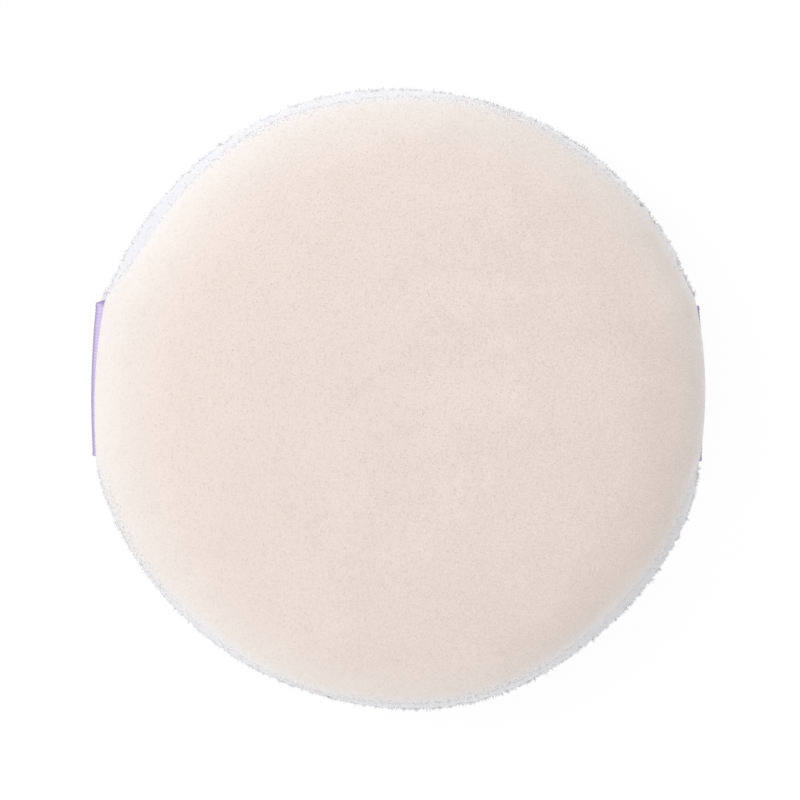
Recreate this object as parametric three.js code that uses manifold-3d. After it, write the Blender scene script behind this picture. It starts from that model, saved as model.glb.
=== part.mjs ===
// Double-sided powder puff with a satin ribbon finger band, in millimetres, +Z up.
// It lies as photographed: cream velour face up, white plush back and ribbon underneath.
// The origin is below the centre of the puff, on the surface that the ribbon lies on.
// +X is the right of the face and +Y its top.
import * as THREE from 'three';
import { mergeVertices } from 'three/addons/utils/BufferGeometryUtils.js';
import Module from 'manifold-3d';

const wasm = await Module();
wasm.setup();

// Whole puff
const puffDiameter = 80;
const puffHeight = 16;
const seamHeight = 7;
const layFlatRadius = 24;

// Clearance that neighbouring pieces keep, and the gap between the two hems
const fit = 0.3;
const hemGap = 0.3;

// Covers: cream velour face and white plush back, each with its pile in its thickness
const faceSetback = 1.8;
const faceThickness = 2;
const backThickness = 2.6;
const hemThickness = 0.9;
const seamRoll = 1;
const faceSquareness = 3.6;

// Ribbon, and how far it draws the plush in and lets the face bulge at each end
const ribbonWidth = 20;
const ribbonThickness = 0.4;
const ribbonOffset = 2.5;
const pinchLeft = 1.1;
const pinchRight = 1.6;
const bulgeLeft = 0.7;
const bulgeRight = 1.4;
const bulgeFade = 7;
const tailPastStitch = 1.2;

// Sewing: machine seam round the edge, and the hand-closed gap that the puff was turned through
const threadRadius = 0.18;
const stitchMargin = 0.3;
const seamPitch = 3.9;
const closingPitch = 4.8;
const turningGap = 28;
const passLeanShare = 0.5;

// Facet counts
const turnSegments = 44;
const domeRings = 7;
const edgeRings = 6;
const rollRings = 2;
const innerRings = 3;
const threadSides = 6;
const holeSides = 4;

// Sizes that follow from those above
const backRadius = puffDiameter / 2;
const faceRadius = backRadius - faceSetback;
const bedHeight = ribbonThickness + fit;
const upperHemBottom = seamHeight + hemGap / 2;
const upperHemTop = upperHemBottom + hemThickness;
const lowerHemTop = seamHeight - hemGap / 2;
const lowerHemBottom = lowerHemTop - hemThickness;
const tightestPinch = Math.max(pinchLeft, pinchRight);
const wallRadius = Math.min(faceRadius - faceThickness, backRadius - backThickness - tightestPinch);
const stitchRadius = wallRadius - stitchMargin - fit - threadRadius;
const stitchHeight = hemGap / 2 + hemThickness + fit + threadRadius;
const ribbonFarEdge = Math.abs(ribbonOffset) + ribbonWidth / 2;
const tailEnd = Math.sqrt(stitchRadius ** 2 - ribbonFarEdge ** 2) - tailPastStitch;
const hemRadius = tailEnd - fit;
const pocketHalf = ribbonThickness / 2 + fit;

// Closed solid of a geometry whose shared corners are joined
function solidOf(geometry) {
  const bare = geometry.clone();
  bare.deleteAttribute('normal');
  bare.deleteAttribute('uv');
  const welded = mergeVertices(bare);
  const corners = [];
  const index = welded.index.array;
  for (let i = 0; i < index.length; i += 3) {
    const [a, b, c] = [index[i], index[i + 1], index[i + 2]];
    if (a !== b && b !== c && c !== a) corners.push(a, b, c);
  }
  const vertProperties = new Float32Array(welded.attributes.position.array);
  const triVerts = new Uint32Array(corners);
  return new wasm.Manifold(new wasm.Mesh({ numProp: 3, vertProperties, triVerts }));
}

// Geometry of a closed solid
function geometryOf(solid) {
  const mesh = solid.getMesh();
  const geometry = new THREE.BufferGeometry();
  geometry.setAttribute('position', new THREE.BufferAttribute(mesh.vertProperties, 3));
  geometry.setIndex(new THREE.BufferAttribute(mesh.triVerts, 1));
  geometry.computeVertexNormals();
  return geometry;
}

// Named mesh in one matt or silky finish
function piece(name, solid, color, roughness) {
  const material = new THREE.MeshStandardMaterial({ color, roughness, metalness: 0 });
  const mesh = new THREE.Mesh(geometryOf(solid), material);
  mesh.name = name;
  return mesh;
}

// Profile turned about the puff's axis, with its height along +Z
function turned(profile) {
  const geometry = new THREE.LatheGeometry(profile, turnSegments);
  geometry.rotateX(Math.PI / 2);
  return geometry;
}

// Crowned dome from its rim up to the axis: upright at the rim, nearly flat on top
function domeLine(radius, base, top, rings) {
  const line = [];
  for (let i = 0; i <= rings; i += 1) {
    const angle = (Math.PI / 2) * (1 - i / rings);
    const reach = radius * Math.sin(angle) ** (2 / faceSquareness);
    line.push(new THREE.Vector2(reach, base + (top - base) * Math.cos(angle)));
  }
  return line;
}

// Edge of the back from the flat that it lies on, out and up to its widest
function edgeLine(radius, bottom, widest, rings) {
  const line = [];
  for (let i = 0; i <= rings; i += 1) {
    const angle = (Math.PI / 2) * (i / rings);
    const reach = layFlatRadius + (radius - layFlatRadius) * Math.sin(angle);
    line.push(new THREE.Vector2(reach, widest - (widest - bottom) * Math.cos(angle)));
  }
  return line;
}

// Part of a line above a height, or below it
function cutLine(line, height, keepsAbove) {
  const kept = (point) => (keepsAbove ? point.y >= height : point.y <= height);
  const part = [];
  line.forEach((point, i) => {
    const before = line[i - 1];
    if (before && kept(before) !== kept(point)) {
      part.push(before.clone().lerp(point, (height - before.y) / (point.y - before.y)));
    }
    if (kept(point)) part.push(point);
  });
  return part;
}

// Turn-in at the seam as part of a round, from one angle to another
function rollLine(centreReach, centreHeight, from, to, rings) {
  const line = [];
  for (let i = 1; i <= rings; i += 1) {
    const angle = from + ((to - from) * i) / rings;
    const reach = centreReach + seamRoll * Math.cos(angle);
    line.push(new THREE.Vector2(reach, centreHeight + seamRoll * Math.sin(angle)));
  }
  return line;
}

const smooth = (share) => {
  const held = Math.min(1, Math.max(0, share));
  return held * held * (3 - 2 * held);
};

// How far the plush is drawn in, so that its edge runs straight where the ribbon crosses it
function pinchAt(angle) {
  const pinch = Math.cos(angle) < 0 ? pinchLeft : pinchRight;
  const straight = (backRadius - pinch) / Math.max(Math.abs(Math.cos(angle)), Number.EPSILON);
  return Math.max(0, backRadius - straight);
}

// How far the face bulges over the end of the ribbon, fading out beside it
function bulgeAt(angle) {
  const bulge = Math.cos(angle) < 0 ? bulgeLeft : bulgeRight;
  const alongEdge = Math.asin(Math.sin(angle)) * faceRadius;
  const pastRibbon = Math.abs(alongEdge - ribbonOffset) - ribbonWidth / 2;
  return bulge * smooth(1 - pastRibbon / bulgeFade);
}

// Rim of a turned piece drawn in or out, more towards the edge and not at all inside the hems
function shapeRim(geometry) {
  const position = geometry.attributes.position;
  for (let i = 0; i < position.count; i += 1) {
    const [x, y, z] = [position.getX(i), position.getY(i), position.getZ(i)];
    const reach = Math.hypot(x, y);
    if (reach <= hemRadius) continue;
    const angle = Math.atan2(y, x);
    const onFace = z > seamHeight;
    const rim = onFace ? faceRadius : backRadius;
    const change = onFace ? bulgeAt(angle) : -pinchAt(angle);
    const scale = 1 + (change * smooth((reach - hemRadius) / (rim - hemRadius))) / reach;
    position.setXY(i, x * scale, y * scale);
  }
  return geometry;
}

// Cream face: crowned outside, turned in at the seam to a flat hem, and hollow for the foam
function faceCover() {
  const widest = upperHemBottom + seamRoll;
  const inside = domeLine(faceRadius - faceThickness, upperHemTop, puffHeight - faceThickness, innerRings);
  const roll = rollLine(faceRadius - seamRoll, widest, -Math.PI / 2, 0, rollRings);
  const outside = domeLine(faceRadius, widest, puffHeight, domeRings);
  const profile = [
    ...inside.reverse(),
    new THREE.Vector2(hemRadius, upperHemTop),
    new THREE.Vector2(hemRadius, upperHemBottom),
    new THREE.Vector2(faceRadius - seamRoll, upperHemBottom),
    ...roll.slice(0, -1),
    ...outside,
  ];
  return solidOf(shapeRim(turned(profile)));
}

// White back: flat where it lies, rounded up to its edge and turned in to the lower hem
function backCover() {
  const widest = lowerHemTop - seamRoll;
  const inside = edgeLine(backRadius - backThickness, bedHeight + backThickness, lowerHemBottom, innerRings);
  const profile = [
    new THREE.Vector2(0, bedHeight),
    ...edgeLine(backRadius, bedHeight, widest, edgeRings),
    ...rollLine(backRadius - seamRoll, widest, 0, Math.PI / 2, rollRings),
    new THREE.Vector2(hemRadius, lowerHemTop),
    new THREE.Vector2(hemRadius, lowerHemBottom),
    ...inside.reverse(),
    new THREE.Vector2(0, bedHeight + backThickness),
  ];
  return solidOf(shapeRim(turned(profile)));
}

// Foam disc: fills both covers and is nipped in round its edge by the hems and the stitches
function foamCore() {
  const grooveHalf = stitchHeight + threadRadius + fit;
  const grooveRadius = hemRadius - fit;
  const floor = bedHeight + backThickness + fit;
  const lower = edgeLine(backRadius - backThickness - fit, floor, lowerHemBottom, innerRings);
  const crown = puffHeight - faceThickness - fit;
  const upper = domeLine(faceRadius - faceThickness - fit, upperHemTop, crown, innerRings);
  const profile = [
    new THREE.Vector2(0, floor),
    ...cutLine(lower, seamHeight - grooveHalf, false),
    new THREE.Vector2(grooveRadius, seamHeight - grooveHalf),
    new THREE.Vector2(grooveRadius, seamHeight + grooveHalf),
    ...cutLine(upper, seamHeight + grooveHalf, true),
  ];
  return solidOf(shapeRim(turned(profile)));
}

// Line beside a given line, to its right, with mitred corners
function lineBeside(line, distance) {
  return line.map((point, i) => {
    const before = line[Math.max(0, i - 1)];
    const after = line[Math.min(line.length - 1, i + 1)];
    const come = (i > 0 ? point.clone().sub(before) : after.clone().sub(point)).normalize();
    const go = (i < line.length - 1 ? after.clone().sub(point) : come.clone()).normalize();
    const side = new THREE.Vector2(come.y + go.y, -come.x - go.x);
    return point.clone().addScaledVector(side, distance / (1 + come.dot(go)));
  });
}

// Flat outline in X and Z, made as wide as the ribbon, or wider by the clearance
function acrossRibbon(outline, extra) {
  const width = ribbonWidth + 2 * extra;
  const geometry = new THREE.ExtrudeGeometry(new THREE.Shape(outline), {
    depth: width,
    steps: 1,
    bevelEnabled: false,
  });
  geometry.rotateX(Math.PI / 2);
  geometry.translate(0, ribbonOffset + width / 2, 0);
  return solidOf(geometry);
}

// One end of the ribbon: up round the edge of the plush, over its turn-in and between the hems
function ribbonEnd(side, pinch) {
  const radius = backRadius - pinch;
  const widest = lowerHemTop - seamRoll;
  const shelf = seamHeight - pocketHalf;
  const rollEnd = Math.asin((shelf - widest) / seamRoll);
  const bed = [
    new THREE.Vector2(layFlatRadius + fit / 2, bedHeight),
    ...edgeLine(radius, bedHeight, widest, edgeRings).slice(1),
    ...rollLine(radius - seamRoll, widest, 0, rollEnd, rollRings),
    new THREE.Vector2(tailEnd, shelf),
  ];
  const inner = lineBeside(bed, fit);
  const outer = lineBeside(bed, fit + ribbonThickness).reverse();
  const outline = [...inner, ...outer].map((point) => new THREE.Vector2(side * point.x, point.y));
  return acrossRibbon(outline, 0);
}

// Middle of the ribbon, lying flat under the back
function ribbonBand() {
  const half = layFlatRadius - fit / 2;
  const outline = [
    new THREE.Vector2(-half, 0),
    new THREE.Vector2(half, 0),
    new THREE.Vector2(half, ribbonThickness),
    new THREE.Vector2(-half, ribbonThickness),
  ];
  return acrossRibbon(outline, 0);
}

// Room between the hems for one end of the ribbon
function ribbonPocket(side) {
  const inner = side * (tailEnd - fit - hemGap);
  const outer = side * puffDiameter;
  const outline = [
    new THREE.Vector2(inner, seamHeight - pocketHalf),
    new THREE.Vector2(outer, seamHeight - pocketHalf),
    new THREE.Vector2(outer, seamHeight + pocketHalf),
    new THREE.Vector2(inner, seamHeight + pocketHalf),
  ];
  return acrossRibbon(outline, fit);
}

// Running stitch: over the upper hem, down through both, under the lower one and up again.
// Three knots make one stitch, and each knot is one step of the tube.
class StitchLine extends THREE.Curve {
  constructor(startAngle, stitches, pitch) {
    super();
    Object.assign(this, { startAngle, stitches, pitch });
  }

  // Angle at which the thread passes through the hems for the given time
  passAngle(number) {
    return this.startAngle + (number * this.pitch) / stitchRadius;
  }

  knot(number) {
    const stitch = Math.floor(number / 3);
    const place = number % 3;
    const side = stitch % 2 === 0 ? 1 : -1;
    const lean = (passLeanShare * threadRadius) / stitchRadius;
    const shift = [-(this.pitch / stitchRadius) / 2, -lean, lean][place];
    const angle = this.passAngle(stitch + 1) + shift;
    const height = seamHeight + stitchHeight * (place === 2 ? -side : side);
    return new THREE.Vector3(
      stitchRadius * Math.cos(angle), stitchRadius * Math.sin(angle), height);
  }

  getPoint(share, target = new THREE.Vector3()) {
    const number = Math.min(share * 3 * this.stitches, 3 * this.stitches);
    const low = Math.min(Math.floor(number), 3 * this.stitches - 1);
    return target.copy(this.knot(low)).lerp(this.knot(low + 1), number - low);
  }

  getPointAt(share, target) {
    return this.getPoint(share, target);
  }

  getTangentAt(share, target) {
    return this.getTangent(share, target);
  }
}

// Run of stitches that fills an arc of the seam
function stitchRun(middleAngle, arcLength, pitch) {
  const stitches = Math.max(2, Math.floor(arcLength / pitch) - 1);
  const span = ((stitches + 1) * pitch) / stitchRadius;
  return new StitchLine(middleAngle - span / 2, stitches, pitch);
}

// Thread along a run of stitches
function threadAlong(run) {
  const section = [];
  for (let i = 0; i < threadSides; i += 1) {
    const turn = (i / threadSides) * 2 * Math.PI;
    section.push(new THREE.Vector2(threadRadius * Math.cos(turn), threadRadius * Math.sin(turn)));
  }
  return solidOf(new THREE.ExtrudeGeometry(new THREE.Shape(section), {
    steps: 3 * run.stitches,
    extrudePath: run,
    bevelEnabled: false,
  }));
}

// Needle holes of a run of stitches, upright through both hems and the ribbon between them
function needleHoles(run) {
  const radius = (threadRadius * (1 + passLeanShare) + fit) / Math.cos(Math.PI / holeSides);
  const height = 2 * stitchHeight;
  const holes = [];
  for (let i = 1; i <= run.stitches; i += 1) {
    const geometry = new THREE.CylinderGeometry(radius, radius, height, holeSides);
    geometry.rotateX(Math.PI / 2);
    geometry.rotateZ(Math.PI / holeSides);
    geometry.translate(stitchRadius, 0, seamHeight);
    geometry.rotateZ(run.passAngle(i));
    holes.push(solidOf(geometry));
  }
  return holes.reduce((all, hole) => all.add(hole));
}

// Machine seam round the edge, and the hand stitches over the turning gap at its foot
const seamRun = stitchRun(Math.PI / 2, 2 * Math.PI * stitchRadius - turningGap, seamPitch);
const closingRun = stitchRun(-Math.PI / 2, turningGap, closingPitch);
const holes = needleHoles(seamRun).add(needleHoles(closingRun));
const pockets = ribbonPocket(-1).add(ribbonPocket(1));
const sewn = (solid) => solid.subtract(holes);

const puff = new THREE.Group();
puff.add(piece('front_cover', sewn(faceCover().subtract(pockets)), 0xecdfd6, 0.95));
puff.add(piece('back_cover', sewn(backCover().subtract(pockets)), 0xf4f4f6, 0.95));
puff.add(piece('foam_core', foamCore(), 0xf3efe2, 0.9));
puff.add(piece('ribbon_left', sewn(ribbonEnd(-1, pinchLeft)), 0xd9cdea, 0.4));
puff.add(piece('ribbon_band', ribbonBand(), 0xd9cdea, 0.4));
puff.add(piece('ribbon_right', sewn(ribbonEnd(1, pinchRight)), 0xd9cdea, 0.4));
puff.add(piece('seam_thread', threadAlong(seamRun), 0xf1e9e2, 0.6));
puff.add(piece('closing_thread', threadAlong(closingRun), 0xf1e9e2, 0.6));

export default puff;
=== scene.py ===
import math

import bmesh
import bpy
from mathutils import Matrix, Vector, noise


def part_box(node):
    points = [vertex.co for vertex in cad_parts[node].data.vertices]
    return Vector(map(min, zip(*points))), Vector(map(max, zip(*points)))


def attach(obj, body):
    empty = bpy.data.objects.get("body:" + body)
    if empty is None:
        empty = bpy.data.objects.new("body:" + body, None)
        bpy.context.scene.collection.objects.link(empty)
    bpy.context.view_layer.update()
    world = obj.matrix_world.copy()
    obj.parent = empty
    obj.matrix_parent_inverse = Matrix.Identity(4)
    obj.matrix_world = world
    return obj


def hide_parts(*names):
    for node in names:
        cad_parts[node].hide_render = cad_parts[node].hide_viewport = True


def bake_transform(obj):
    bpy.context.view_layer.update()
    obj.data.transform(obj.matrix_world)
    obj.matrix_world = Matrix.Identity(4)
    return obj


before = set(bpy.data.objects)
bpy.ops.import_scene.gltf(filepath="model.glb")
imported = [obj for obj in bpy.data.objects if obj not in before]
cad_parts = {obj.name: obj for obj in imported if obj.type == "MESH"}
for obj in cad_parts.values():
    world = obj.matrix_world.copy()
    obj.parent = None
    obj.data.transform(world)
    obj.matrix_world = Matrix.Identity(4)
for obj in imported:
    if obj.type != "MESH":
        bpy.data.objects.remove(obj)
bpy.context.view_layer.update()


# Face cover: cream velour, a knit backing with a short dense pile. It is cut as a disc, crowned by
# the foam under it, and turned in at the edge to a flat hem that is sewn to the back's hem. Over the
# ends of the ribbon its edge is pushed out, and it runs straighter there.

MM = 0.001
FACE_LOW, FACE_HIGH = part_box("front_cover")
BACK_LOW, BACK_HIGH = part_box("back_cover")
RIBBON_LOW, RIBBON_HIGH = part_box("ribbon_band")
RIBBON_MIDDLE = (RIBBON_LOW.y + RIBBON_HIGH.y) / 2
RIBBON_HALF = (RIBBON_HIGH.y - RIBBON_LOW.y) / 2

FACE_RADIUS = 38.95 * MM
FACE_PILE = 0.15 * MM
FACE_CLOTH = 1.6 * MM
FACE_SQUARENESS = 3.6
HEM_RADIUS = 31.5 * MM
HEM_THICKNESS = 0.9 * MM
FACE_ROLL = 0.6 * MM

# How finely the skin is divided: round the puff, over its dome, at its turn-in and on its inside.
# Two points nearer than the same place are one.
TURN_STEPS = 360
DOME_RINGS = 26
ROLL_RINGS = 5
INSIDE_RINGS = 12
SAME_PLACE = 0.001 * MM

# Where the velour's edge runs over each ribbon end: its furthest reach, the place along the ribbon's
# width where it is furthest, and how strongly it bends away from there, per metre.
FACE_OVER_RIBBON = {"left": (39.37 * MM, -2.0 * MM, 6.3), "right": (39.35 * MM, 1.2 * MM, 9.2)}
FACE_EASING = 8 * MM
EASING_CURVE = 1.5

# Where the face bulges over the plush at the upper right, by how much, and by what share fewer
# white fibres of the plush lie on it there.
BULGE_AT = math.radians(35)
BULGE_SPREAD = math.radians(20)
FACE_BULGE = 0.3 * MM
BULGE_CLEAN = 0.6

# Unevenness of the sewn round, as waves round the edge: how many there are in a turn, and how far
# the wave's cosine and its sine move the edge, in millimetres.
FACE_WAVES = [(1, -0.03, 0.11), (2, -0.40, 0.19), (3, -0.17, -0.13), (4, -0.22, 0.15), (5, -0.06, -0.29),
              (6, -0.20, 0.01), (7, -0.11, -0.05), (8, -0.22, -0.03)]
LUMP_SIZE = 14 * MM
LUMP_DEPTH = 0.12 * MM


def smooth(share):
    """Eases from 0 to 1 as share goes from 0 to 1."""
    held = min(1.0, max(0.0, share))
    return held * held * (3 - 2 * held)


def put_in_order(mesh):
    """Orders edges and faces by their points, because the operators' own order differs in each run."""
    mesh.verts.index_update()
    many = len(mesh.verts)

    def place(part):
        numbers = [vertex.index for vertex in part.verts]
        return min(numbers) * many + max(numbers)

    mesh.edges.sort(key=place)
    mesh.faces.sort(key=place)


def piece(name, mesh):
    """Object at the origin that holds a finished bmesh."""
    data = bpy.data.meshes.new(name)
    mesh.to_mesh(data)
    mesh.free()
    data.shade_smooth()
    made = bpy.data.objects.new(name, data)
    bpy.context.scene.collection.objects.link(made)
    return made


def turned(name, profile):
    """Closed skin spun round the puff's axis from an outline in reach and height."""
    mesh = bmesh.new()
    line = [mesh.verts.new((reach, 0, height)) for reach, height in profile]
    edges = [mesh.edges.new(pair) for pair in zip(line, line[1:])]
    bmesh.ops.spin(mesh, geom=line + edges, cent=(0, 0, 0), axis=(0, 0, 1), dvec=(0, 0, 0),
                   angle=2 * math.pi, steps=TURN_STEPS, use_merge=True)
    bmesh.ops.remove_doubles(mesh, verts=mesh.verts, dist=SAME_PLACE)
    put_in_order(mesh)
    bmesh.ops.recalc_face_normals(mesh, faces=mesh.faces)
    return piece(name, mesh)


def dome_line(radius, base, top, rings):
    """Crowned outline from its upright rim up to the axis."""
    line = []
    for ring in range(rings + 1):
        angle = (math.pi / 2) * (1 - ring / rings)
        reach = radius * math.sin(angle) ** (2 / FACE_SQUARENESS) if ring < rings else 0
        line.append((reach, base + (top - base) * math.cos(angle)))
    return line


def roll_line(reach, height, width, rise, start, end, rings):
    """Part of an oval, where an edge rolls over."""
    angles = [start + (end - start) * ring / rings for ring in range(rings + 1)]
    return [(reach + width * math.cos(angle), height + rise * math.sin(angle)) for angle in angles]


def side_of(x):
    """Which end of the ribbon a place is nearer to."""
    return "left" if x < 0 else "right"


def reach_of(point):
    """Distance of a point from the puff's axis."""
    return math.hypot(point.x, point.y)


def beside_ribbon(y):
    """Distance past the ribbon's edge, less than nothing over the ribbon itself."""
    return abs(y - RIBBON_MIDDLE) - RIBBON_HALF


def reach_over(ribbon, y):
    """How far out an edge runs over the ribbon, at a place along its width."""
    reach, furthest, bend = ribbon
    return reach - bend * (y - furthest) ** 2


def near_ribbon(y, easing):
    """1 over the ribbon, easing to 0 along the edge beside it."""
    share = 1 - beside_ribbon(y) / easing
    return min(1.0, max(0.0, share)) ** EASING_CURVE


def facing(point, middle, spread):
    """1 on the side of the puff at an angle, falling to 0 where the angle is a spread off."""
    return smooth(1 - abs(math.atan2(point.y, point.x) - middle) / spread)


def bulge_at(point):
    """1 in the middle of the face's bulge at the upper right, falling to 0 beside it."""
    return facing(point, BULGE_AT, BULGE_SPREAD)


def rim_at(point, rim):
    """Radius of a skin's rim in a point's direction: out of round, and straighter at the ribbon."""
    angle = math.atan2(point.y, point.x)
    reach = rim["radius"]
    for order, cosine, sine in rim["waves"]:
        reach += (cosine * math.cos(order * angle) + sine * math.sin(order * angle)) * MM
    reach += rim["bulge"] * bulge_at(point)
    y = rim["radius"] * math.sin(angle)
    straight = reach_over(rim["over_ribbon"][side_of(point.x)], y) - rim["pile"]
    return reach + (math.hypot(straight, y) - reach) * near_ribbon(y, rim["easing"])


def moved_at(distance, rim):
    """How much of the rim's move a point takes, from none at the hem to all of it at the rim."""
    return smooth((distance - HEM_RADIUS) / (rim["radius"] - HEM_RADIUS))


def shape_rim(skin, rim):
    """Moves a turned skin's rim off its round, and less further in."""
    for vertex in skin.data.vertices:
        distance = reach_of(vertex.co)
        if distance <= HEM_RADIUS:
            continue
        shift = (rim_at(vertex.co, rim) - rim["radius"]) * moved_at(distance, rim)
        vertex.co.x *= 1 + shift / distance
        vertex.co.y *= 1 + shift / distance


def soften(skin, above):
    """Slight unevenness of a soft filling, left out on the hidden side."""
    for vertex in skin.data.vertices:
        if vertex.co.z > above:
            vertex.co += vertex.normal * noise.noise(vertex.co / LUMP_SIZE) * LUMP_DEPTH


face_bottom = FACE_LOW.z
face_base = face_bottom + FACE_ROLL
face_top = FACE_HIGH.z - FACE_PILE
skin_radius = FACE_RADIUS - FACE_PILE
face_edge = {"radius": skin_radius, "waves": FACE_WAVES, "over_ribbon": FACE_OVER_RIBBON,
             "pile": FACE_PILE, "easing": FACE_EASING, "bulge": FACE_BULGE}
inside = dome_line(skin_radius - FACE_CLOTH, face_bottom + HEM_THICKNESS, face_top - FACE_CLOTH, INSIDE_RINGS)
turn_in = roll_line(skin_radius - FACE_ROLL, face_base, FACE_ROLL, FACE_ROLL, -math.pi / 2, 0, ROLL_RINGS)
face_skin = turned("face_cover", [
    *reversed(inside),
    (HEM_RADIUS, face_bottom + HEM_THICKNESS),
    (HEM_RADIUS, face_bottom),
    *turn_in[:-1],
    *dome_line(skin_radius, face_base, face_top, DOME_RINGS),
])
shape_rim(face_skin, face_edge)
soften(face_skin, face_base)


class Signal:
    """A socket's value in an expression; each operator adds its Math node."""

    def __init__(self, web, socket):
        self.web = web
        self.socket = socket

    def math(self, operation, first, second):
        return self.web.node("ShaderNodeMath", {"operation": operation}, {0: first, 1: second})[0]

    def __add__(self, other):
        return self.math("ADD", self, other)

    __radd__ = __add__

    def __sub__(self, other):
        return self.math("SUBTRACT", self, other)

    def __rsub__(self, other):
        return self.math("SUBTRACT", other, self)

    def __mul__(self, other):
        return self.math("MULTIPLY", self, other)

    __rmul__ = __mul__


class Made:
    """A node whose outputs are read by place or by name."""

    def __init__(self, web, node):
        self.web = web
        self.node = node

    def __getitem__(self, key):
        return Signal(self.web, self.node.outputs[key])


class Web:
    """Nodes of one material, or of one geometry tree."""

    def __init__(self, tree):
        self.tree = tree
        self.tree.nodes.clear()

    def node(self, kind, settings=None, sockets=None):
        """A node of a type, with its settings made first and then its sockets fed."""
        made = self.tree.nodes.new(kind)
        for key, value in (settings or {}).items():
            setattr(made, key, value)
        for key, value in (sockets or {}).items():
            if isinstance(value, Signal):
                self.tree.links.new(value.socket, made.inputs[key])
            else:
                made.inputs[key].default_value = value
        return Made(self, made)

    def mixed(self, first, second, share):
        """Colour between two colours."""
        return self.node("ShaderNodeMix", {"data_type": "RGBA"}, {0: share, 6: first, 7: second})[2]

    def marked(self, name):
        """A number that is stored at each point of the piece."""
        return self.node("ShaderNodeAttribute", {"attribute_name": name})["Fac"]

    def bumped(self, strength, depth, height):
        """Normal of a surface that a pattern raises."""
        sockets = {"Strength": strength, "Distance": depth, "Height": height}
        return self.node("ShaderNodeBump", None, sockets)[0]

    def grain(self, size, detail=2.0, stretch=(1, 1, 1)):
        """Noise whose grains have a real size, on the piece's own coordinates."""
        place = self.node("ShaderNodeTexCoord")["Object"]
        scaled = self.node("ShaderNodeMapping", None, {"Vector": place, "Scale": stretch})[0]
        sockets = {"Vector": scaled, "Scale": 1 / size, "Detail": detail}
        return self.node("ShaderNodeTexNoise", None, sockets)[0]


def finish(name):
    """A new material and the web of its nodes."""
    material = bpy.data.materials.new(name)
    material.use_nodes = True
    return material, Web(material.node_tree)


def surface(web, sockets):
    """Principled surface that ends a material's web."""
    shader = web.node("ShaderNodeBsdfPrincipled", None, sockets)
    web.node("ShaderNodeOutputMaterial", None, {"Surface": shader[0]})


# The velour's creams: its own, and the paler one of its painted sheen towards the edge, each on the tips of
# its pile and deeper between them, partly grain and partly painted shade; and its sheen. Then the white of
# the plush's fibres on it, painted duller where it is lit and brighter where it is shaded.
CREAM = (0.938, 0.838, 0.782, 1)
CREAM_DEEP_AND_TUFT_SHADE = (0.692, 0.598, 0.543, 1)
CREAM_PAINTED_SHEEN = (0.90, 0.855, 0.825, 1)
CREAM_PAINTED_SHEEN_DEEP = (0.74, 0.695, 0.665, 1)
CREAM_SHEEN = (0.99, 0.99, 1.0, 1)
DUST_PAINTED_DULL = (0.79, 0.79, 0.81, 1)
DUST_PAINTED_BRIGHT = (0.885, 0.885, 0.905, 1)

# Its grain: the size of one tuft and of one cloudy lay mark, what each adds, how deep it is, and how strong
# its colour is on the shaded side and on the lit side, as painted shade of light that rakes across it.
FINE_GRAIN = 0.22 * MM
CLOUD_GRAIN = 6 * MM
FINE_SHARE = 0.8
CLOUD_SHARE = 0.2
MEAN_GRAIN = 0.5
GRAIN_DEPTH = 0.06 * MM
GRAIN_SHADED_SIDE = 1.5
GRAIN_LIT_SIDE = 0.7


def velour():
    """Cream velour ground: fine grain of the pile with painted shade between its tufts, painted stronger on
    the side turned from the light, faint cloudy lay marks, and painted sheen that pales it towards its edge.
    """
    material, web = finish("cream_velour")
    fine = web.grain(FINE_GRAIN)
    clouds = web.grain(CLOUD_GRAIN)
    # The grain's colour contrast is painted raking shade: stronger on the side turned from the light.
    strength = web.marked("grain_lit") * (GRAIN_LIT_SIDE - GRAIN_SHADED_SIDE) + GRAIN_SHADED_SIDE
    level = (fine * FINE_SHARE + clouds * CLOUD_SHARE - MEAN_GRAIN) * strength + MEAN_GRAIN
    # Each cream is deeper between the tufts, partly grain and partly painted shade.
    middle = web.mixed(CREAM_DEEP_AND_TUFT_SHADE, CREAM, level)
    edge = web.mixed(CREAM_PAINTED_SHEEN_DEEP, CREAM_PAINTED_SHEEN, level)
    # The edge cream is painted sheen, mixed in by the rim mark.
    cream = web.mixed(middle, edge, web.marked("rim"))
    # The white dust from the seam is painted duller where it is lit and brighter where it is shaded.
    white = web.mixed(DUST_PAINTED_BRIGHT, DUST_PAINTED_DULL, web.marked("painted_light"))
    surface(web, {"Base Color": web.mixed(cream, white, web.marked("dust")), "Roughness": 0.95,
                  "Normal": web.bumped(0.5, GRAIN_DEPTH, fine),
                  "Sheen Weight": 0.78, "Sheen Roughness": 0.35, "Sheen Tint": CREAM_SHEEN,
                  "Specular IOR Level": 0.1})
    return material


def mark(skin, name, level):
    """Stores what a function of a point and its normal gives all over a skin, for other nodes to read."""
    layer = skin.data.attributes.new(name, "FLOAT", "POINT")
    for vertex in skin.data.vertices:
        layer.data[vertex.index].value = level(vertex.co, vertex.normal)


# Directions of painted light and shade: the lit side where the cream's painted sheen is strongest, the lit
# side where its grain's painted raking shade is weaker, and the lit side where the plush's white is painted
# duller against the light. Round the middle of the puff they fade out. The plush's white is also painted
# duller at its lower right, as painted shade.
SHEEN_LIGHT_FROM = math.radians(150)
GRAIN_LIGHT_FROM = math.radians(180)
PLUSH_LIGHT_FROM = math.radians(180)
LIGHT_SIDE_CLEAR = 27 * MM
PLUSH_SHADE_AT = math.radians(-40)
PLUSH_SHADE_SPREAD = math.radians(36)
PLUSH_SHADE_MOST = 0.75

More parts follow.
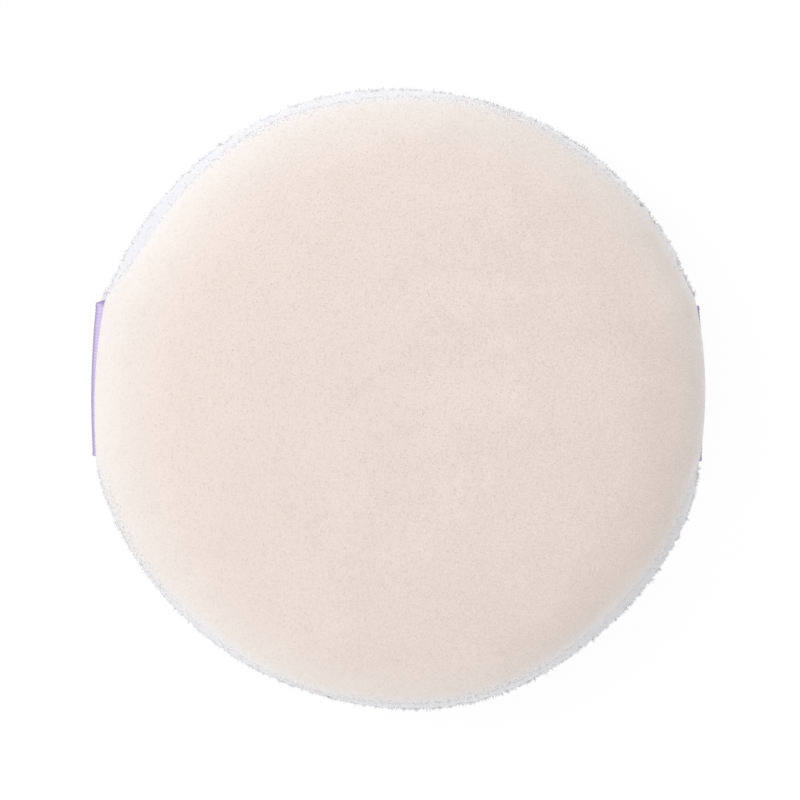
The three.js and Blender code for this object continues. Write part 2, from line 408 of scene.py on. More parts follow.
# Where the painted sheen on the velour's edge begins and ends, how much further in it begins on the lit side,
# how strong it is, and how much stronger on the lit side; and the width of its last stretch that white fibres
# cover, how thickly, and what share of them lies over the ribbon.
SHEEN_PAINT_FROM = 34.5 * MM
SHEEN_PAINT_TO = 38.5 * MM
SHEEN_LIT_FURTHER_IN = 7.5 * MM
SHEEN_PAINT_SHADED = 0.45
SHEEN_PAINT_LIT_MORE = 0.35
DUST_WIDTH = 1.5 * MM
DUST_MOST = 0.8
DUST_OVER_RIBBON = 0.5


def lit_share(point, light_from):
    """1 on the side of the puff towards a light's direction, 0 on the far side, and a half round the middle.
    """
    clear = smooth(reach_of(point) / LIGHT_SIDE_CLEAR)
    return 0.5 + 0.5 * clear * math.cos(math.atan2(point.y, point.x) - light_from)


def plush_painted_light(point, normal):
    """How far the plush's white is painted duller: on its lit side against the light, and at its lower right
    as painted shade.
    """
    lower_right_shade = PLUSH_SHADE_MOST * facing(point, PLUSH_SHADE_AT, PLUSH_SHADE_SPREAD)
    return min(1.0, lit_share(point, PLUSH_LIGHT_FROM) + lower_right_shade)


def grain_lit_share(point, normal):
    """Share of the lit side, where the grain's painted raking shade is weaker."""
    return lit_share(point, GRAIN_LIGHT_FROM)


def painted_sheen(point, normal):
    """Painted sheen: the velour is painted paler towards its edge, further in and more on its lit side."""
    painted_light = lit_share(point, SHEEN_LIGHT_FROM)
    start = SHEEN_PAINT_FROM - SHEEN_LIT_FURTHER_IN * painted_light
    share = smooth((reach_of(point) - start) / (SHEEN_PAINT_TO - start))
    return share * (SHEEN_PAINT_SHADED + SHEEN_PAINT_LIT_MORE * painted_light)


def dusting(point, normal):
    """White fibres from the seam whiten the velour's last stretch, and less of it over the ribbon."""
    share = smooth(1 + (reach_of(point) - rim_at(point, face_edge)) / DUST_WIDTH)
    beside = smooth(beside_ribbon(point.y) / DUST_WIDTH)
    spread = DUST_OVER_RIBBON + (1 - DUST_OVER_RIBBON) * beside
    return DUST_MOST * (1 - BULGE_CLEAN * bulge_at(point)) * share * spread


# The painted light mark on the face sets where the white dust is painted duller and where it is painted
# brighter.
mark(face_skin, "painted_light", plush_painted_light)
# The grain_lit mark weakens the grain's painted raking shade on the lit side.
mark(face_skin, "grain_lit", grain_lit_share)
# The rim mark is painted sheen: the cream is painted paler towards its edge, more on its lit side.
mark(face_skin, "rim", painted_sheen)
mark(face_skin, "dust", dusting)
face_skin.data.materials.append(velour())
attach(face_skin, "puff")
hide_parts("front_cover")


# Pile of the face: cream fibres that stand in the velour's backing, very short, straight and close.
# They are sheared level and differ slightly in their cream.

FACE_TINTS = [(0.94, 0.85, 0.80, 1), (0.92, 0.83, 0.78, 1), (0.96, 0.88, 0.83, 1)]
FACE_FIBRES_PER_MM2 = 1.5
FACE_FIBRE_THICK = 0.03 * MM
FACE_FIBRE_LONG = 1.6 * FACE_PILE
FACE_LEAN = math.radians(25)
FACE_FLOW = 0.15

# In every pile the fibres' lengths differ by these shares. Fibres lean together over about the
# flow's size, and stand taller together in tufts.
FIBRE_LENGTHS = (0.7, 1.1)
FLOW_SIZE = 1.6 * MM
TUFT_SIZE = 0.5 * MM

# The pile's height at the rim. Then how far the skin faces outwards, or up, where the pile begins on
# the outside, on the turn-in and on the top, and where it is as short as at the rim.
RIM_PILE = 0.8
OUTSIDE_FROM = 0.05
TURN_IN_FROM = 0.2
TOP_FROM = 0.3
RIM_FROM = 0.6


def fibre(name, radius, length, cuts, bend):
    """One three-sided tapering fibre that stands on the origin and bends over towards its tip."""
    mesh = bmesh.new()
    bmesh.ops.create_cone(mesh, cap_ends=True, segments=3, radius1=radius, radius2=0, depth=length)
    bmesh.ops.translate(mesh, verts=mesh.verts, vec=(0, 0, length / 2))
    bmesh.ops.remove_doubles(mesh, verts=mesh.verts, dist=SAME_PLACE)
    if cuts:
        upright = [edge for edge in mesh.edges if edge.verts[0].co.z != edge.verts[1].co.z]
        bmesh.ops.subdivide_edges(mesh, edges=upright, cuts=cuts)
    put_in_order(mesh)
    for vertex in mesh.verts:
        vertex.co.x += bend * (vertex.co.z / length) ** 2
    return piece(name, mesh)


def grown(name, skin, mark_name, pattern, per_mm2, lean, flow, tufts, seed):
    """Pile of one tint: a fibre scattered over a skin, as tall and as close as a mark on the skin says."""
    tree = bpy.data.node_groups.new(name, "GeometryNodeTree")
    for way in ("INPUT", "OUTPUT"):
        tree.interface.new_socket("Geometry", in_out=way, socket_type="NodeSocketGeometry")
    web = Web(tree)
    cloth = web.node("NodeGroupInput")[0]
    standing = web.node("GeometryNodeInputNamedAttribute", {"data_type": "FLOAT"}, {"Name": mark_name})[0]
    points = web.node("GeometryNodeDistributePointsOnFaces", None,
                      {"Mesh": cloth, "Density": standing * (per_mm2 / MM ** 2), "Seed": seed})
    turn = web.node("FunctionNodeRandomValue", {"data_type": "FLOAT_VECTOR"},
                    {0: (-lean, -lean, 0), 1: (lean, lean, 2 * math.pi), "Seed": seed})[0]
    place = web.node("GeometryNodeInputPosition")[0]
    cloud = web.node("ShaderNodeTexNoise", None, {"Vector": place, "Scale": 1 / FLOW_SIZE, "Detail": 1.0})[1]
    centred = web.node("ShaderNodeVectorMath", {"operation": "SUBTRACT"}, {0: cloud, 1: (0.5, 0.5, 0.5)})[0]
    drift = web.node("ShaderNodeVectorMath", {"operation": "MULTIPLY"},
                     {0: centred, 1: (flow, flow, flow)})[0]
    aimed = web.node("FunctionNodeRotateRotation", {"rotation_space": "GLOBAL"},
                     {0: points["Rotation"], 1: drift})[0]
    tilt = web.node("FunctionNodeRotateRotation", {"rotation_space": "LOCAL"}, {0: aimed, 1: turn})[0]
    size = web.node("FunctionNodeRandomValue", {"data_type": "FLOAT"},
                    {2: FIBRE_LENGTHS[0], 3: FIBRE_LENGTHS[1], "Seed": seed + 1})[1]
    tuft = web.node("ShaderNodeTexNoise", None, {"Vector": place, "Scale": 1 / TUFT_SIZE, "Detail": 0.0})[0]
    size = size * (1 + (tuft - 0.5) * tufts)
    copy = web.node("GeometryNodeObjectInfo", None, {"Object": pattern})["Geometry"]
    placed = web.node("GeometryNodeInstanceOnPoints", None,
                      {"Points": points[0], "Instance": copy, "Rotation": tilt, "Scale": size * standing})[0]
    solid = web.node("GeometryNodeRealizeInstances", None, {"Geometry": placed})[0]
    web.node("NodeGroupOutput", None, {0: solid})

    host = bpy.data.objects.new(name + "_host", skin.data)
    bpy.context.scene.collection.objects.link(host)
    host.modifiers.new("pile", "NODES").node_group = tree
    bpy.context.view_layer.update()
    data = bpy.data.meshes.new_from_object(host.evaluated_get(bpy.context.evaluated_depsgraph_get()))
    bpy.data.objects.remove(host)
    bpy.data.node_groups.remove(tree)
    data.materials.clear()
    made = bpy.data.objects.new(name, data)
    bpy.context.scene.collection.objects.link(made)
    return made


def fibre_finish(name, colour, sheen):
    """Finish of one tint of pile."""
    material, web = finish(name)
    surface(web, {"Base Color": colour, "Roughness": 0.9, "Sheen Weight": sheen, "Sheen Roughness": 0.4,
                  "Specular IOR Level": 0.1})
    return material


def facing_out(point, normal):
    """How far a skin faces away from the puff's axis, from -1 inwards to 1 outwards."""
    return normal.dot(Vector((point.x, point.y, 0)).normalized())


def face_pile(point, normal):
    """The face's pile stands on its outer side, and ends on the turn-in at the seam."""
    outward = facing_out(point, normal)
    if point.z <= face_base:
        return RIM_PILE if outward > TURN_IN_FROM else 0.0
    if outward > OUTSIDE_FROM or normal.z > TOP_FROM:
        return 1 + (RIM_PILE - 1) * smooth(outward / RIM_FROM)
    return 0.0


mark(face_skin, "pile", face_pile)
velour_fibre = fibre("velour_fibre", FACE_FIBRE_THICK, FACE_FIBRE_LONG, cuts=0, bend=0)
for number, tint in enumerate(FACE_TINTS, 1):
    pile = grown(f"face_pile_{number}", face_skin, "pile", velour_fibre, FACE_FIBRES_PER_MM2, FACE_LEAN,
                 FACE_FLOW, tufts=0, seed=number)
    pile.data.materials.append(fibre_finish(f"cream_pile_{number}", tint, sheen=0.8))
    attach(pile, "puff")
bpy.data.objects.remove(velour_fibre)


# Back cover: white plush with a softer and longer pile than the face. It is flat where the puff
# lies, is held in where the ribbon crosses its edge, and its pile shows round the face as a fringe.
# Its waves, and its edge under each ribbon end, are given as the face's are.

BACK_RADIUS = 39.98 * MM
BACK_WAVES = [(1, 0.01, 0.26), (2, -0.02, -0.11), (3, -0.07, 0.04), (4, 0.01, 0.10), (5, 0.02, -0.09),
              (6, -0.05, -0.04), (7, -0.04, -0.03), (8, -0.04, 0.06)]
BACK_PILE = 0.22 * MM
BACK_ROLL = (0.4 * MM, 0.8 * MM)
BACK_PUFF = 0.9 * MM
PRESSED_ROLL = 1.5 * MM
BACK_CLOTH = 1.6 * MM
LAY_FLAT_RADIUS = 24 * MM
RIBBON_REACH = {"left": (39.85 * MM, 0.0 * MM, 4.2), "right": (39.15 * MM, 0.6 * MM, 4.2)}
RIBBON_CLOTH = 0.22 * MM
PRESSED_PILE = 0.7
BACK_EASING = 4.0 * MM
BESIDE_RIBBON = 1.5 * MM
BACK_RINGS = 16
BACK_ROLL_RINGS = 8
BACK_INSIDE_RINGS = 8

# The fringe: how far it laps over the cream edge, how high it rises there and in what curve, the
# rings that divide it, its least width, and the tufts that its rim is gathered in.
FRINGE_LAP = 0.42 * MM
FRINGE_RISE = 1.85 * MM
FRINGE_CURVE = 0.75
LAP_STEPS = (-0.8, -0.4, 0, 0.4, 0.75, 0.96, 1.04, 1.3, 1.7)
LEAST_FRINGE = 0.1
SCALLOP_SIZE = 0.8 * MM
SCALLOP_DEPTH = 0.25 * MM

# Where handling has ruffled the fringe, how far its rim is lifted there, and how much deeper its
# tufts and taller its fibres are.
RUFFLED = math.radians(38)
RUFFLED_SPREAD = math.radians(36)
RUFFLED_LIFT = 0.5
RUFFLED_DEEPER = 1.6
RUFFLED_TALLER = 0.5


def edge_line(radius, bottom, widest, rings):
    """Outline from the flat of the back out and up to its widest."""
    line = []
    for ring in range(rings + 1):
        angle = (math.pi / 2) * ring / rings
        reach = LAY_FLAT_RADIUS + (radius - LAY_FLAT_RADIUS) * math.sin(angle)
        line.append((reach, widest - (widest - bottom) * math.cos(angle)))
    return line


back_top = BACK_HIGH.z
back_widest = back_top + BACK_PUFF - BACK_ROLL[1]
pressed_widest = back_top - PRESSED_ROLL
back_radius = BACK_RADIUS - BACK_PILE
back_bottom = BACK_LOW.z + PRESSED_PILE * BACK_PILE
inside = edge_line(back_radius - BACK_CLOTH, back_bottom + BACK_CLOTH, back_top - HEM_THICKNESS,
                   BACK_INSIDE_RINGS)
back_skin = turned("back_cover_plush", [
    (0, back_bottom),
    (LAY_FLAT_RADIUS / 3, back_bottom),
    (LAY_FLAT_RADIUS * 2 / 3, back_bottom),
    *edge_line(back_radius, back_bottom, pressed_widest, BACK_RINGS),
    (back_radius, (pressed_widest + back_widest) / 2),
    *roll_line(back_radius - BACK_ROLL[0], back_widest, *BACK_ROLL, 0, math.pi / 2, BACK_ROLL_RINGS),
    *[(skin_radius - step * FRINGE_LAP, back_top + BACK_PUFF) for step in LAP_STEPS],
    (HEM_RADIUS, back_top),
    (HEM_RADIUS, back_top - HEM_THICKNESS),
    *reversed(inside),
    (0, back_bottom + BACK_CLOTH),
])
back_edge = {"radius": back_radius, "waves": BACK_WAVES, "over_ribbon": RIBBON_REACH,
             "pile": RIBBON_CLOTH + PRESSED_PILE * BACK_PILE, "easing": BACK_EASING, "bulge": 0.0}
shape_rim(back_skin, back_edge)


def set_reach(vertex, reach):
    """Moves a point straight out or in to a new reach."""
    share = reach / reach_of(vertex.co)
    vertex.co.x *= share
    vertex.co.y *= share


def ruffled_at(point):
    """1 where handling has ruffled the plush's edge, and 0 where it lies as it was made."""
    return facing(point, RUFFLED, RUFFLED_SPREAD)


def gather(vertex):
    """Draws the plush's upper edge up over the cream edge, and gathers its rim in small tufts."""
    reach = reach_of(vertex.co)
    rim = rim_at(vertex.co, back_edge)
    tuft = noise.noise(Vector((vertex.co.x, vertex.co.y, 0)) * (back_radius / reach) / SCALLOP_SIZE)
    cream = rim_at(vertex.co, face_edge)
    seam = skin_radius + (rim - back_radius) * moved_at(skin_radius, back_edge)
    if reach > seam:
        fringe = max(LEAST_FRINGE * (rim - seam), rim - cream)
        set_reach(vertex, cream + (reach - seam) * fringe / (rim - seam))
    else:
        drawn = smooth((reach - HEM_RADIUS) / (seam - FACE_ROLL - HEM_RADIUS))
        set_reach(vertex, reach + (cream - seam) * drawn)
    lap = cream - FRINGE_LAP
    share = (reach_of(vertex.co) - lap) / max(rim - lap, FRINGE_LAP)
    rise = (1 - min(1.0, max(0.0, share))) ** FRINGE_CURVE
    lift = RUFFLED_LIFT * ruffled_at(vertex.co)
    vertex.co.z = back_widest + FRINGE_RISE * (lift + (1 - lift) * rise)
    depth = SCALLOP_DEPTH * (1 + RUFFLED_DEEPER * ruffled_at(vertex.co)) * smooth(share)
    set_reach(vertex, reach_of(vertex.co) + depth * tuft)


def press(vertex):
    """Presses a point of the plush in and down under the ribbon."""
    reach = reach_of(vertex.co)
    rise = min(1.0, (vertex.co.z - pressed_widest) / PRESSED_ROLL)
    over = reach - (rim_at(vertex.co, back_edge) - PRESSED_ROLL * (1 - math.sqrt(1 - rise * rise)))
    set_reach(vertex, reach - max(0.0, over) * near_ribbon(vertex.co.y, BACK_EASING))


def tuck(skin):
    """Seats the plush's upper edge against the cream edge and under the ribbon."""
    for vertex in skin.data.vertices:
        if vertex.co.z > back_top:
            gather(vertex)
            vertex.co.z -= (vertex.co.z - back_top) * near_ribbon(vertex.co.y, BESIDE_RIBBON)
        if vertex.co.z > pressed_widest and reach_of(vertex.co) > HEM_RADIUS:
            press(vertex)
        inward = min(rim_at(vertex.co, face_edge) - reach_of(vertex.co), FACE_ROLL)
        if inward > FRINGE_LAP * (1 - near_ribbon(vertex.co.y, BESIDE_RIBBON)):
            drop = math.sqrt(FACE_ROLL ** 2 - (FACE_ROLL - inward) ** 2)
            vertex.co.z = min(vertex.co.z, max(back_top, face_base - drop))


tuck(back_skin)

# The plush's white painted duller, on its lit side and at its lower right, and painted brighter on its shaded
# side;
# and the grey between its tufts, which is painted shade.
PLUSH_PAINTED_DULL = (0.77, 0.77, 0.80, 1)
PLUSH_PAINTED_BRIGHT = (0.91, 0.91, 0.935, 1)
PLUSH_TUFT_SHADE = (0.66, 0.66, 0.69, 1)
PLUSH_GRAIN = 0.5 * MM
PLUSH_GRAIN_DEPTH = 0.08 * MM
TUFT_SHADE_SHARE = 0.3


def plush():
    """White plush ground: painted duller on its lit side and at its lower right, painted brighter on its
    shaded side, and greyer between the tufts with painted shade.
    """
    material, web = finish("white_plush")
    tufts = web.grain(PLUSH_GRAIN)
    white = web.mixed(PLUSH_PAINTED_BRIGHT, PLUSH_PAINTED_DULL, web.marked("painted_light"))
    surface(web, {"Base Color": web.mixed(white, PLUSH_TUFT_SHADE, (1 - tufts) * TUFT_SHADE_SHARE), "Roughness": 0.95,
                  "Normal": web.bumped(0.3, PLUSH_GRAIN_DEPTH, tufts),
                  "Sheen Weight": 0.25, "Sheen Roughness": 0.5, "Specular IOR Level": 0.1})
    return material


# The painted light mark sets where the plush is painted duller, on its lit side and at its lower right, and
# where it is painted brighter, on its shaded side.
mark(back_skin, "painted_light", plush_painted_light)
back_skin.data.materials.append(plush())
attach(back_skin, "puff")
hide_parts("back_cover")


# Pile of the back: fine curved fibres that gather in small tufts, stand out round the edge, and lie
# pressed under the ribbon and against the table.

PLUSH_TINTS = [(0.95, 0.95, 0.975, 1), (0.92, 0.92, 0.95, 1), (0.97, 0.97, 0.985, 1)]
PLUSH_PER_MM2 = 3.0
PLUSH_FIBRE_THICK = 0.07 * MM
PLUSH_FIBRE_LONG = 1.4 * BACK_PILE
PLUSH_FIBRE_BEND = 0.1 * MM
PLUSH_LEAN = math.radians(22)
PLUSH_FLOW = 1.6
PLUSH_TUFTS = 3.0
PLUSH_SEED = 20

# Height of the pile over the cream edge and under the ribbon, the width over which it rises beside
# the ribbon, and how the hidden side is told: it doesn't face down, and it faces inwards.
LAPPED_PILE = 0.5
UNDER_RIBBON_PILE = 0.12
CLEAR_OF_RIBBON = 1.2 * MM
FACING_DOWN = -0.3
FACING_INWARDS = -0.6


def back_pile(point, normal):
    """Tall at the plush's edge, short on the flat and over the cream, and nearly none under the ribbon."""
    reach = reach_of(point)
    hidden = facing_out(point, normal) < FACING_INWARDS or reach < rim_at(point, face_edge) - FRINGE_LAP
    if normal.z > FACING_DOWN and hidden:
        return 0.0
    past_flat = (reach - LAY_FLAT_RADIUS) / (back_radius - LAY_FLAT_RADIUS)
    tall = PRESSED_PILE + (1 - PRESSED_PILE) * smooth(past_flat)
    tall -= (1 - LAPPED_PILE) * smooth((point.z - back_widest) / BACK_ROLL[1])
    tall *= 1 + RUFFLED_TALLER * ruffled_at(point)
    beside = smooth(beside_ribbon(point.y) / CLEAR_OF_RIBBON)
    return max(0.0, tall) * (UNDER_RIBBON_PILE + (1 - UNDER_RIBBON_PILE) * beside)


mark(back_skin, "pile", back_pile)
plush_fibre = fibre("plush_fibre", PLUSH_FIBRE_THICK, PLUSH_FIBRE_LONG, cuts=1, bend=PLUSH_FIBRE_BEND)
for number, tint in enumerate(PLUSH_TINTS, 1):
    pile = grown(f"back_pile_{number}", back_skin, "pile", plush_fibre, PLUSH_PER_MM2, PLUSH_LEAN,
                 PLUSH_FLOW, PLUSH_TUFTS, seed=PLUSH_SEED + number)
    pile.data.materials.append(fibre_finish(f"white_pile_{number}", tint, sheen=0.7))
    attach(pile, "puff")
bpy.data.objects.remove(plush_fibre)


# Seam fluff: loose white fibres of the plush, worked through the seam between the stitches and
# brushed up over the cream edge. Fewer lie over the ribbon, which covers the plush there.

FLUFF_FROM = 37.3 * MM
FLUFF_PER_MM2 = 7
FLUFF_LEAN = math.radians(60)
FLUFF_THICK = 0.045 * MM
FLUFF_LONG = 0.4 * MM
FLUFF_OVER_RIBBON = 0.35
FLUFF_SEED = 31


def fluff(point, normal):
    """The fluff thickens towards the seam."""
    if facing_out(point, normal) < TURN_IN_FROM:
        return 0.0
    thick = smooth((reach_of(point) - FLUFF_FROM) / (skin_radius - FLUFF_FROM))
    beside = smooth(beside_ribbon(point.y) / FACE_EASING + FLUFF_OVER_RIBBON)
    return thick * (1 - BULGE_CLEAN * bulge_at(point)) * beside


mark(face_skin, "fluff", fluff)
fluff_fibre = fibre("fluff_fibre", FLUFF_THICK, FLUFF_LONG, cuts=0, bend=0)
pile = grown("seam_fluff", face_skin, "fluff", fluff_fibre, FLUFF_PER_MM2, FLUFF_LEAN, PLUSH_FLOW,
             tufts=0, seed=FLUFF_SEED)
pile.data.materials.append(fibre_finish("white_fluff", PLUSH_TINTS[0], sheen=0.7))
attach(pile, "puff")
bpy.data.objects.remove(fluff_fibre)


# Foam core: one die-cut disc of soft open-cell foam. It is pushed in through the turning gap, fills
# the covers and gives them their crown.

FOAM_LOW, FOAM_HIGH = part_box("foam_core")
FOAM = (0.86, 0.83, 0.74, 1)
FOAM_PIT_SHADE = (0.70, 0.66, 0.56, 1)
FOAM_INSET = 0.6 * MM
FOAM_UPRIGHT = 2.5 * HEM_THICKNESS
FOAM_UPPER_RINGS = 14
FOAM_LOWER_RINGS = 10
CELL_SIZE = 0.5 * MM
CELL_DEPTH = 0.2 * MM

foam_radius = FOAM_HIGH.y - FOAM_INSET
foam_waist = back_top - HEM_THICKNESS
foam_upper = dome_line(foam_radius, foam_waist + FOAM_UPRIGHT, FOAM_HIGH.z - FOAM_INSET, FOAM_UPPER_RINGS)
foam_lower = edge_line(foam_radius - FOAM_INSET, FOAM_LOW.z + FOAM_INSET, foam_waist - FOAM_INSET,
                       FOAM_LOWER_RINGS)
foam = turned("foam_disc", [(0, FOAM_LOW.z + FOAM_INSET), *foam_lower, *foam_upper])


def foam_finish():
    """Open cells: rounded pits of mixed sizes, darkened with painted shade, with thin paler walls between
    them.
    """
    material, web = finish("foam_cells")
    place = web.node("ShaderNodeTexCoord")["Object"]
    cells = web.node("ShaderNodeTexVoronoi", None, {"Vector": place, "Scale": 1 / CELL_SIZE})[0]
    surface(web, {"Base Color": web.mixed(FOAM_PIT_SHADE, FOAM, cells), "Roughness": 0.9,
                  "Normal": web.bumped(0.8, CELL_DEPTH, cells)})
    return material


foam.data.materials.append(foam_finish())
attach(foam, "puff")
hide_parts("foam_core")


# Ribbon: one strip of lilac satin, finely ribbed along its length, with a woven edge on each side.
# The middle lies flat on the table. Each end turns up round the plush and in between the hems.

RIB_PITCH = 0.44 * MM
RIB_DEPTH = 0.1 * MM
RIB_SAMPLES = 4
SELVAGE = 0.7 * MM
SELVAGE_RISE = 0.06 * MM
RIBBON_HEIGHT = 0.2 * MM
TAIL_END = 31.6 * MM
BAND_RINGS = 6
BEND_RINGS = 32
TUCK_RINGS = 10
TAIL_RINGS = 6
SEAM_HEIGHT = (FACE_LOW.z + BACK_HIGH.z) / 2

# How the ends are sewn in: the right one a little askew, the left one drawn in towards one side.
ASKEW = {"left": 0, "right": 0.35 * MM}
DRAWN_IN = {"left": 0.35 * MM, "right": 0}

# Painted shade along the crease at the widest of the edge, as shares of the way from there up to the seam:
# where it starts and ends, and how far it fades. Then the small corner that is folded over at the left, with
# its painted shade.
CREASE_TOP = 0.75
CREASE_TOP_FADE = 0.3
CREASE_FOOT = -2
CREASE_FOOT_FADE = 1.5
CORNER_FOLD = (1.2 * MM, 0.6 * MM)
CORNER_EDGE = 0.08 * MM
CORNER_SPREAD = (0.35 * MM, 1.5 * MM)


def ribbon_path(side):
    """Line of one ribbon end, from the flat band out, up round the edge and into the seam."""
    reach = RIBBON_REACH[side][0] - RIBBON_CLOTH / 2
    roll = PRESSED_ROLL + RIBBON_CLOTH
    line = edge_line(reach, RIBBON_HEIGHT, pressed_widest, BEND_RINGS)
    top = math.asin((SEAM_HEIGHT - pressed_widest) / roll)
    line += roll_line(reach - roll, pressed_widest, roll, roll, 0, top, TUCK_RINGS)[1:]
    start = line[-1][0]
    for ring in range(1, TAIL_RINGS + 1):
        line.append((start + (TAIL_END - start) * ring / TAIL_RINGS, SEAM_HEIGHT))
    return line


def ribbon_strip(name, line, sign, bend_and_shade):
    """Strip of ribbon along a line in reach and height, with its ribs and woven edges."""
    mesh = bmesh.new()
    points = [mesh.verts.new((sign * reach, RIBBON_MIDDLE - RIBBON_HALF, height)) for reach, height in line]
    edges = [mesh.edges.new(pair) for pair in zip(points, points[1:])]
    columns = round(2 * RIBBON_HALF / RIB_PITCH) * RIB_SAMPLES
    bmesh.ops.spin(mesh, geom=points + edges, cent=(0, 0, 0), axis=(0, 1, 0), angle=0, steps=columns,
                   dvec=(0, 2 * RIBBON_HALF / columns, 0))
    bmesh.ops.remove_doubles(mesh, verts=mesh.verts, dist=SAME_PLACE)
    put_in_order(mesh)
    mesh.normal_update()
    if mesh.faces[:][0].normal.z > 0:
        bmesh.ops.reverse_faces(mesh, faces=mesh.faces)
        mesh.normal_update()
    groove_shade = mesh.verts.layers.float.new("groove_shade")
    fold_shade = mesh.verts.layers.float.new("fold_shade")
    for vertex in mesh.verts:
        place = vertex.co.y - (RIBBON_MIDDLE - RIBBON_HALF)
        inside_edge = min(place, 2 * RIBBON_HALF - place)
        rib = abs(math.sin(math.pi * place / RIB_PITCH))
        rise = SELVAGE_RISE * smooth((SELVAGE - inside_edge) / (SELVAGE / 3))
        # The groove shade mark is painted shade between the ribs.
        vertex[groove_shade] = 1 - rib
        # The fold shade mark is painted shade, which the bend gives back.
        vertex[fold_shade] = bend_and_shade(vertex.co)
        vertex.co += vertex.normal * (RIB_DEPTH * (rib - 0.5) + rise)
    made = piece(name, mesh)
    thick = made.modifiers.new("cloth", "SOLIDIFY")
    thick.thickness = RIBBON_CLOTH
    thick.offset = 0
    return made


def bent(side):
    """Change to an end of the ribbon: its edge bends in towards the ribbon's two sides. It gives back painted
    shade along the crease and, at the left, in the folded corner.
    """
    reach, furthest, bend = RIBBON_REACH[side]

    def change(point):
        out = abs(point.x)
        eased = smooth((out - LAY_FLAT_RADIUS) / (reach - LAY_FLAT_RADIUS))
        if point.z > SEAM_HEIGHT - RIBBON_CLOTH:
            eased = smooth((out - HEM_RADIUS) / (reach - HEM_RADIUS))
        point.x -= math.copysign(bend * (point.y - furthest) ** 2 * eased, point.x)
        aside = RIBBON_MIDDLE + RIBBON_HALF - point.y
        point.y += (DRAWN_IN[side] * aside / (2 * RIBBON_HALF) - ASKEW[side]) * eased
        turn = (point.z - pressed_widest) / (SEAM_HEIGHT - pressed_widest)
        # The crease is painted shade at the widest of the edge, and the corner is painted shade in the folded
        # corner.
        crease_shade = smooth((CREASE_TOP - turn) / CREASE_TOP_FADE)
        crease_shade *= smooth((turn - CREASE_FOOT) / CREASE_FOOT_FADE)
        if side == "right" or turn <= 0:
            return crease_shade
        inward = min(1.0, (reach - out) / CORNER_FOLD[0])
        corner_shade = smooth((CORNER_FOLD[1] * inward - aside) / CORNER_EDGE)
        point.y += CORNER_SPREAD[0] * inward * smooth(1 - aside / CORNER_SPREAD[1])
        return max(crease_shade, corner_shade)

    return change


# The satin's lilac; its deeper lilac, for darker streaks and as painted shade between its ribs; its painted
# fold shade; and its streaks:
# their width, how far they are drawn out along the ribbon, and what they and the ribs add to its lilac.
LILAC = (0.62, 0.54, 0.79, 1)
LILAC_STREAK_AND_GROOVE_SHADE = (0.56, 0.46, 0.71, 1)
LILAC_FOLD_SHADE = (0.31, 0.255, 0.46, 1)
STREAK_WIDTH = 0.2 * MM
STREAK_DEPTH = 0.03 * MM
STREAK_DETAIL = 3.0
STREAK_DRAWN = (0.08, 1, 0.08)
STREAK_SHARE = 0.6
GROOVE_SHADE_SHARE = 0.5
FOLD_SHADE_SHARE = 0.9
SATIN_SMOOTHEST = 0.3
SATIN_ROUGHER = 0.2


def satin():
    """Lilac satin: long silky streaks, paler ribs with painted shade between them, and a painted shade line
    where it folds.
    """
    material, web = finish("lilac_satin")
    streaks = web.grain(STREAK_WIDTH, STREAK_DETAIL, STREAK_DRAWN)
    level = streaks * STREAK_SHARE + (1 - web.marked("groove_shade")) * GROOVE_SHADE_SHARE
    lilac = web.mixed(LILAC_STREAK_AND_GROOVE_SHADE, LILAC, level)
    surface(web, {"Base Color": web.mixed(lilac, LILAC_FOLD_SHADE, web.marked("fold_shade") * FOLD_SHADE_SHARE),
                  "Roughness": streaks * SATIN_ROUGHER + SATIN_SMOOTHEST,
                  "Normal": web.bumped(0.4, STREAK_DEPTH, streaks),
                  "Specular IOR Level": 0.4, "Sheen Weight": 0.2, "Sheen Roughness": 0.3})
    return material


ribbon_finish = satin()
flat_rings = range(-BAND_RINGS, BAND_RINGS + 1)
flat_line = [(ring * LAY_FLAT_RADIUS / BAND_RINGS, RIBBON_HEIGHT) for ring in flat_rings]
band = ribbon_strip("ribbon_middle", flat_line, 1, lambda point: 0.0)
band.data.materials.append(ribbon_finish)
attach(band, "band")
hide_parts("ribbon_band")

for side, sign in (("left", -1), ("right", 1)):
    end = ribbon_strip(f"ribbon_end_{side}", ribbon_path(side), sign, bent(side))
    end.data.materials.append(ribbon_finish)
    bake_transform(end)
    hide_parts(f"ribbon_{side}")


# Threads: cream machine thread in the seam, and the same thread for the hand stitches that close
# the turning gap. Both are two plies twisted together.

THREAD = (0.80, 0.75, 0.70, 1)
THREAD_GROOVE_SHADE = (0.62, 0.57, 0.52, 1)
PLY_PITCH = 0.9 * MM
PLY_DEPTH = 0.05 * MM


def thread_finish():
    """Two-ply thread: slanting plies, with painted shade in the groove between them."""
    material, web = finish("twisted_thread")
    place = web.node("ShaderNodeTexCoord")["Object"]
    plies = web.node("ShaderNodeTexWave", {"bands_direction": "DIAGONAL"},
                     {"Vector": place, "Scale": 1 / PLY_PITCH, "Distortion": 0.5})[1]
    surface(web, {"Base Color": web.mixed(THREAD_GROOVE_SHADE, THREAD, plies), "Roughness": 0.6,
                  "Normal": web.bumped(0.6, PLY_DEPTH, plies)})
    return material


twisted = thread_finish()
for name in ("seam_thread", "closing_thread"):
    for place in bpy.data.objects[name].material_slots:
        place.material = twisted


# Table, soft lamps and camera: a straight look down on the face as the puff lies on a white table.
# The camera sees the table and the room as white, and the puff gets only the plain light they give.

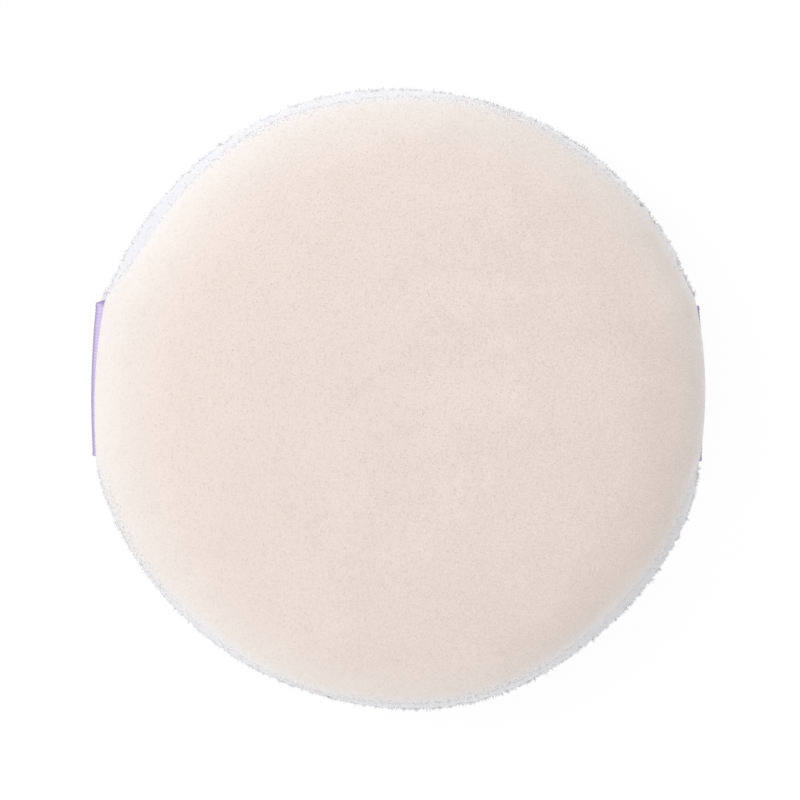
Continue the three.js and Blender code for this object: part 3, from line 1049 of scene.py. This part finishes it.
bpy.ops.mesh.primitive_plane_add(size=6, location=(0, 0, 0))
floor = bpy.context.object
floor.name = "floor"
material, web = finish("white_table")
seen = web.node("ShaderNodeLightPath")["Is Camera Ray"]
glow = web.node("ShaderNodeEmission", None, {"Color": (1, 1, 1, 1), "Strength": 0.94})
ground = web.node("ShaderNodeBsdfDiffuse", None, {"Color": (0.07, 0.07, 0.07, 1)})
bright = web.node("ShaderNodeAddShader", None, {0: glow[0], 1: ground[0]})
plain = web.node("ShaderNodeBsdfDiffuse", None, {"Color": (0.88, 0.88, 0.88, 1)})
shown = web.node("ShaderNodeMixShader", None, {0: seen, 1: plain[0], 2: bright[0]})
behind = web.node("ShaderNodeNewGeometry")["Backfacing"]
clear = web.node("ShaderNodeBsdfTransparent")
sided = web.node("ShaderNodeMixShader", None, {0: behind, 1: shown[0], 2: clear[0]})
web.node("ShaderNodeOutputMaterial", None, {"Surface": sided[0]})
floor.data.materials.append(material)

world = bpy.data.worlds.new("studio")
world.use_nodes = True
bpy.context.scene.world = world
web = Web(world.node_tree)
path = web.node("ShaderNodeLightPath")
dim = web.node("ShaderNodeBackground", None, {"Color": (1, 0.99, 0.985, 1), "Strength": 0.735})
white = web.node("ShaderNodeBackground", None, {"Color": (1, 1, 1, 1), "Strength": 1.0})
shown = web.node("ShaderNodeMixShader", None, {0: path["Is Camera Ray"], 1: dim[0], 2: white[0]})
web.node("ShaderNodeOutputWorld", None, {"Surface": shown[0]})


def lamp(name, place, size, watts):
    """Square soft lamp aimed at the puff."""
    data = bpy.data.lights.new(name, "AREA")
    data.size = size
    data.energy = watts
    made = bpy.data.objects.new(name, data)
    made.location = place
    made.rotation_euler = (-Vector(place)).to_track_quat("-Z", "Y").to_euler()
    bpy.context.scene.collection.objects.link(made)


lamp("key", place=(-0.68, 0.26, 0.52), size=0.4, watts=2.93)
lamp("back", place=(0.1, 0.75, 0.25), size=0.4, watts=1.05)
lamp("front", place=(-0.1, -0.75, 0.2), size=0.4, watts=0.95)

# The lens and the width of its film in millimetres, and the width that the picture shows.
LENS = 150
SENSOR = 36
FRAME_WIDTH = 102.9 * MM
camera = bpy.data.objects.new("camera", bpy.data.cameras.new("camera"))
camera.data.lens = LENS
camera.data.sensor_width = SENSOR
camera.data.clip_start = 0.01
camera.location = (0, 0, SEAM_HEIGHT + FRAME_WIDTH * LENS / SENSOR)
bpy.context.scene.collection.objects.link(camera)
bpy.context.scene.camera = camera
bpy.context.scene.view_settings.view_transform = "Standard"
